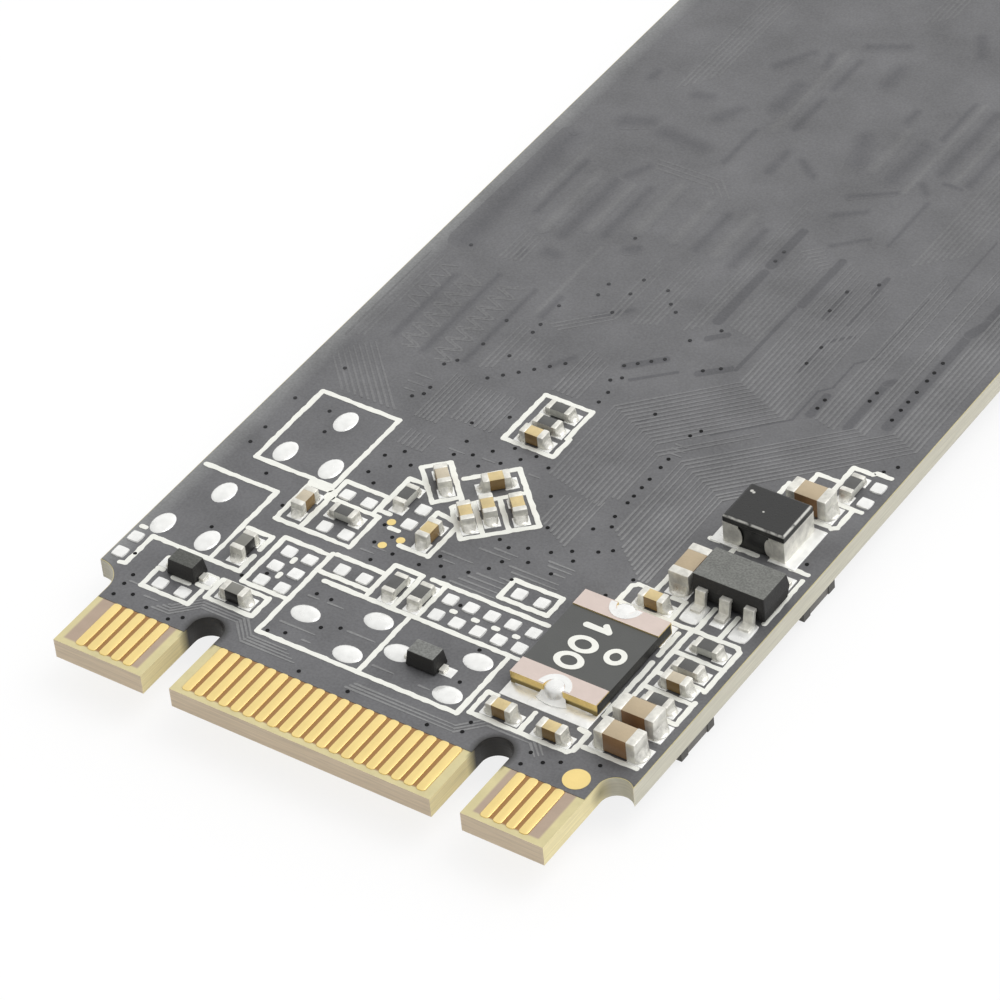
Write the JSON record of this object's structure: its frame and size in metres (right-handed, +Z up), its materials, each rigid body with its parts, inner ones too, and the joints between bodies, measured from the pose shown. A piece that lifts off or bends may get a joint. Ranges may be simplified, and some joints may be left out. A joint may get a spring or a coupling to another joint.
{
  "type": "gumstick solid state drive",
  "caption": "Slim keyed card-edge storage board with gold contacts, small soldered parts on its upper face and flat memory packages beneath.",
  "frame": {"origin": "on the plane of the flash packages' faces, below the middle of the board", "axes": "+X across the board to the right as seen from the card edge, +Y from the card edge to the screw notch, +Z up out of the face with the small parts"},
  "size_m": [0.022, 0.08, 0.0033],
  "materials": {
    "board_laminate": "grey solder mask over glass-fibre laminate",
    "gold_plating": "gold plate",
    "bright_solder": "bright solder",
    "tinned_metal": "matte tin plate",
    "fuse_foil": "tinned copper foil",
    "fuse_laminate": "matte laminate",
    "capacitor_ceramic": "fired ceramic",
    "resistor_film": "glazed film on ceramic",
    "ferrite": "sintered ferrite",
    "moulded_resin": "moulded epoxy",
    "inductor_resin": "moulded epoxy",
    "package_resin": "moulded epoxy",
    "crystal_case": "nickel-plated lid on ceramic"
  },
  "bodies": {
    "root": {"bead_end_caps": "tinned_metal", "capacitor_c1": "capacitor_ceramic", "capacitor_c10": "capacitor_ceramic", "capacitor_c11": "capacitor_ceramic", "capacitor_c12": "capacitor_ceramic", "capacitor_c13": "capacitor_ceramic", "capacitor_c14": "capacitor_ceramic", "capacitor_c15": "capacitor_ceramic", "capacitor_c16": "capacitor_ceramic", "capacitor_c2": "capacitor_ceramic", "capacitor_c3": "capacitor_ceramic", "capacitor_c4": "capacitor_ceramic", "capacitor_c5": "capacitor_ceramic", "capacitor_c6": "capacitor_ceramic", "capacitor_c7": "capacitor_ceramic", "capacitor_c8": "capacitor_ceramic", "capacitor_c9": "capacitor_ceramic", "capacitor_end_caps": "tinned_metal", "circuit_board": "board_laminate", "component_solder_pads": "bright_solder", "controller_package": "package_resin", "controller_solder_lands": "bright_solder", "crystal": "crystal_case", "diode_d1": "moulded_resin", "diode_d2": "moulded_resin", "diode_leads": "tinned_metal", "ferrite_bead_fb1": "ferrite", "ferrite_bead_fb2": "ferrite", "flash_package_1": "package_resin", "flash_package_2": "package_resin", "flash_solder_lands": "bright_solder", "fuse_f1": "fuse_laminate", "fuse_terminals": "fuse_foil", "gold_test_dots": "gold_plating", "inductor_l1": "inductor_resin", "inductor_terminals": "tinned_metal", "lower_capacitor_end_caps": "tinned_metal", "lower_capacitors": "capacitor_ceramic", "lower_edge_contacts": "gold_plating", "lower_solder_pads": "bright_solder", "oval_solder_pads": "bright_solder", "power_inductor_end_caps": "tinned_metal", "power_inductor_l2": "inductor_resin", "power_inductor_l3": "inductor_resin", "regulator_leads": "tinned_metal", "regulator_u1": "moulded_resin", "resistor_end_caps": "tinned_metal", "resistor_r1": "resistor_film", "resistor_r10": "resistor_film", "resistor_r2": "resistor_film", "resistor_r3": "resistor_film", "resistor_r4": "resistor_film", "resistor_r5": "resistor_film", "resistor_r6": "resistor_film", "resistor_r7": "resistor_film", "resistor_r8": "resistor_film", "resistor_r9": "resistor_film", "screw_notch_plating": "gold_plating", "square_solder_pads": "bright_solder", "upper_edge_contacts": "gold_plating"}
  },
  "joints": []
}
